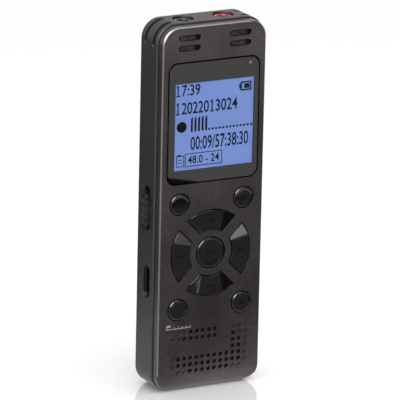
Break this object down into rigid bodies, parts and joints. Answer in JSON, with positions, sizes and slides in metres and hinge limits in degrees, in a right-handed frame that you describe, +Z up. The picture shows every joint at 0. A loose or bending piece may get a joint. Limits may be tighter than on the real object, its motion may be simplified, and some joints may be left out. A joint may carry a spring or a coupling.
{
  "type": "handheld voice recorder",
  "caption": "Slim handheld voice recorder with a lit display, press keys, a control ring, a slide switch, a speaker, microphones and audio and USB sockets.",
  "frame": {"origin": "centre of the flat bottom face that the recorder stands on, halfway between its front and its back", "axes": "+Z up the recorder's length, the display and the keys face -Y, +X to the right as seen from the front"},
  "size_m": [0.033, 0.0125, 0.101],
  "materials": {
    "panel_metal": "brushed, anodised warm grey",
    "frame_plastic": "fine matt",
    "cover_metal": "brushed, anodised warm grey",
    "black_steel": "black oxide",
    "black_plastic": "matt",
    "window_plastic": "clear, with a dark printed border",
    "adhesive": "matt",
    "lcd": "blue-lit display",
    "diffuser": "white diffuser",
    "flex": "amber film",
    "clear_plastic": "clear",
    "led": "encapsulated",
    "board": "solder mask",
    "bright_steel": "plated",
    "chip": "moulded",
    "ceramic_tan": "fired",
    "spring_steel": "polished",
    "film": "thin film",
    "boot_rubber": "soft",
    "mesh_steel": "woven",
    "mesh_black": "black woven",
    "socket_black": "moulded",
    "contact_gold": "plated",
    "socket_red": "moulded",
    "usb_steel": "stamped",
    "white_plastic": "moulded",
    "knob_plastic": "satin, ribbed",
    "cone": "pressed film",
    "foam_black": "closed-cell foam",
    "cloth_black": "woven dust cloth",
    "lead_red": "insulation",
    "pouch": "laminated foil",
    "foam_white": "adhesive foam",
    "key_plastic": "gloss"
  },
  "bodies": {
    "casing": {"front_panel": "panel_metal", "mid_frame": "frame_plastic", "back_cover": "cover_metal", "cover_screws": "black_steel", "support_frame": "black_plastic", "display_window": "window_plastic", "window_adhesive": "adhesive", "lcd_glass": "lcd", "lcd_backlight": "diffuser", "lcd_flex": "flex", "light_pipe": "clear_plastic", "status_led": "led", "main_board": "board", "board_screws": "bright_steel", "processor": "chip", "flash_memory": "chip", "audio_codec": "chip", "clock_crystal": "bright_steel", "board_capacitors": "ceramic_tan", "key_domes": "spring_steel", "dome_film": "film", "mic_left": "bright_steel", "mic_right": "bright_steel", "mic_boot_left": "boot_rubber", "mic_boot_right": "boot_rubber", "mic_mesh_left": "mesh_steel", "mic_mesh_right": "mesh_steel", "corner_mesh_left": "mesh_black", "corner_mesh_right": "mesh_black", "headphone_socket": "socket_black", "headphone_contacts": "contact_gold", "input_socket": "socket_red", "input_contacts": "contact_gold", "usb_shell": "usb_steel", "usb_tongue": "socket_black", "switch_body": "bright_steel", "speaker_basket": "black_plastic", "speaker_cone": "cone", "speaker_magnet": "bright_steel", "speaker_gasket": "foam_black", "speaker_cloth": "cloth_black", "speaker_leads": "lead_red", "battery": "pouch", "battery_pad": "foam_white", "battery_connector": "white_plastic", "battery_leads": "lead_red"},
    "key_menu": {"key_menu": "key_plastic"},
    "key_record": {"key_record": "key_plastic"},
    "key_mark": {"key_mark": "key_plastic"},
    "key_stop": {"key_stop": "key_plastic"},
    "key_volume_up": {"key_volume_up": "key_plastic"},
    "key_next": {"key_next": "key_plastic"},
    "key_volume_down": {"key_volume_down": "key_plastic"},
    "key_previous": {"key_previous": "key_plastic"},
    "key_play": {"key_play": "key_plastic"},
    "slide_switch": {"switch_knob": "knob_plastic", "switch_lever": "white_plastic"}
  },
  "joints": [
    {"name": "menu_press", "type": "slide", "parent": "casing", "child": "key_menu", "axis": [0, 1, 0], "range_m": [0, 0.0003], "stiffness_N_per_m": 1000, "springref_m": -0.0005},
    {"name": "record_press", "type": "slide", "parent": "casing", "child": "key_record", "axis": [0, 1, 0], "range_m": [0, 0.0003], "stiffness_N_per_m": 1000, "springref_m": -0.0005},
    {"name": "mark_press", "type": "slide", "parent": "casing", "child": "key_mark", "axis": [0, 1, 0], "range_m": [0, 0.0003], "stiffness_N_per_m": 1000, "springref_m": -0.0005},
    {"name": "stop_press", "type": "slide", "parent": "casing", "child": "key_stop", "axis": [0, 1, 0], "range_m": [0, 0.0003], "stiffness_N_per_m": 1000, "springref_m": -0.0005},
    {"name": "volume_up_press", "type": "slide", "parent": "casing", "child": "key_volume_up", "axis": [0, 1, 0], "range_m": [0, 0.0003], "stiffness_N_per_m": 1000, "springref_m": -0.0005},
    {"name": "next_press", "type": "slide", "parent": "casing", "child": "key_next", "axis": [0, 1, 0], "range_m": [0, 0.0003], "stiffness_N_per_m": 1000, "springref_m": -0.0005},
    {"name": "volume_down_press", "type": "slide", "parent": "casing", "child": "key_volume_down", "axis": [0, 1, 0], "range_m": [0, 0.0003], "stiffness_N_per_m": 1000, "springref_m": -0.0005},
    {"name": "previous_press", "type": "slide", "parent": "casing", "child": "key_previous", "axis": [0, 1, 0], "range_m": [0, 0.0003], "stiffness_N_per_m": 1000, "springref_m": -0.0005},
    {"name": "play_press", "type": "slide", "parent": "casing", "child": "key_play", "axis": [0, 1, 0], "range_m": [0, 0.0003], "stiffness_N_per_m": 1000, "springref_m": -0.0005},
    {"name": "switch_slide", "type": "slide", "parent": "casing", "child": "slide_switch", "axis": [0, 0, 1], "range_m": [0, 0.0016]}
  ]
}
